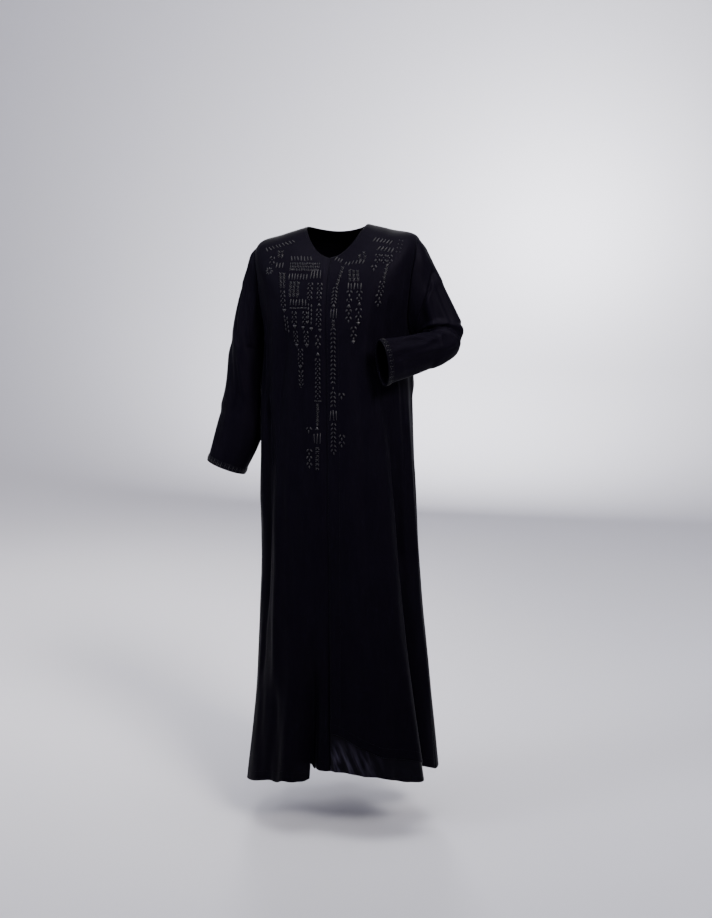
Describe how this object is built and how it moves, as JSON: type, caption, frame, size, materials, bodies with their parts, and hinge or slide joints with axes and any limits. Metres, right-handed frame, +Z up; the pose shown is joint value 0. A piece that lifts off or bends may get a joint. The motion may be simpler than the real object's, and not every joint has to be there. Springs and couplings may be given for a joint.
{
  "type": "abaya cloak",
  "caption": "Full-length black abaya that opens down the front, with wide sleeves, beaded bands and a satin lining at the left hem, hollow as worn.",
  "frame": {"origin": "midway between the high points of the two shoulders, beside the neck, where the garment hangs on its wearer", "axes": "+Z up along the garment's length, -Y the way the wearer faces, +X the wearer's left"},
  "size_m": [0.6648, 0.4318, 1.4649],
  "materials": {
    "crepe": "matt black crepe",
    "cuff_trim": "black satin band, low gloss",
    "satin": "black satin, soft gloss"
  },
  "bodies": {
    "root": {"front_right": "crepe", "front_left": "crepe", "back": "crepe", "sleeve_right": "crepe", "sleeve_left": "crepe", "cuff_trim_right": "cuff_trim", "cuff_trim_left": "cuff_trim", "lining_left": "satin"}
  },
  "joints": []
}
